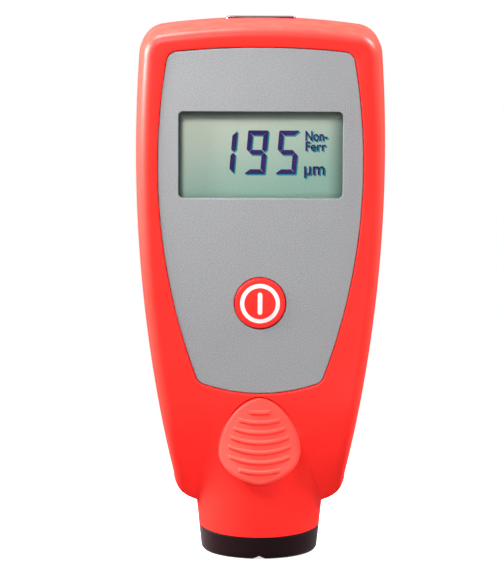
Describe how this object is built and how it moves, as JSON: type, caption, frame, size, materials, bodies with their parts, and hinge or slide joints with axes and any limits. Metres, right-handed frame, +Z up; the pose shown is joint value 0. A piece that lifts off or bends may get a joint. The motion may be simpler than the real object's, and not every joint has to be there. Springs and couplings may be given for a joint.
{
  "type": "coating thickness gauge",
  "caption": "Hand-held coating thickness gauge with a bowed housing, deep-set display, push button, ridged thumb pad and a sprung probe in a round foot.",
  "frame": {"origin": "middle of the probe foot's underside, on the surface that the gauge stands on", "axes": "+Z up along the probe axis, front face towards -Y, +X to the right seen from the front"},
  "size_m": [0.0576, 0.037, 0.1245],
  "materials": {
    "red_plastic": "moulded, satin",
    "pad_plastic": "soft, matt",
    "plate_grey": "silver-grey, fine grain",
    "display_glass": "clear",
    "display_face": "reflective liquid crystal",
    "white_plastic": "moulded",
    "black_plastic": "moulded, satin",
    "dark_rubber": "matt",
    "board_green": "solder mask",
    "steel": "turned",
    "brass": "turned",
    "copper_wire": "enamelled winding",
    "battery_can": "plain wrap"
  },
  "bodies": {
    "housing": {"front_shell": "red_plastic", "rear_shell": "red_plastic", "front_plate": "plate_grey", "display_window": "display_glass", "display_cell": "display_face", "display_frame": "white_plastic", "display_connectors": "dark_rubber", "main_board": "board_green", "controller_chip": "black_plastic", "probe_socket": "white_plastic", "key_switch": "black_plastic", "thumb_pad": "pad_plastic", "end_window": "black_plastic", "probe_foot": "black_plastic", "guide_bush": "brass", "probe_spring": "steel", "spring_seat": "black_plastic", "probe_lead": "dark_rubber", "battery": "battery_can", "battery_snap": "black_plastic", "housing_screws": "steel", "board_screws": "steel"},
    "button": {"power_button": "red_plastic", "button_legend": "white_plastic", "switch_plunger": "white_plastic"},
    "probe": {"probe_sleeve": "steel", "probe_core": "steel", "probe_coil": "copper_wire", "probe_tip": "steel"},
    "door": {"battery_door": "red_plastic"}
  },
  "joints": [
    {"name": "button_press", "type": "slide", "parent": "housing", "child": "button", "axis": [0, 1, 0], "range_m": [0, 0.0006], "stiffness_N_per_m": 1500, "springref_m": -0.0002},
    {"name": "probe_travel", "type": "slide", "parent": "housing", "child": "probe", "axis": [0, 0, -1], "range_m": [0, 0.0015], "stiffness_N_per_m": 120, "springref_m": 0.004, "deforming": ["probe_spring"]},
    {"name": "door_swing", "type": "hinge", "parent": "housing", "child": "door", "pos_m": [0, 0.0185, 0.102], "axis": [1, 0, 0], "range_deg": [0, 80]}
  ]
}
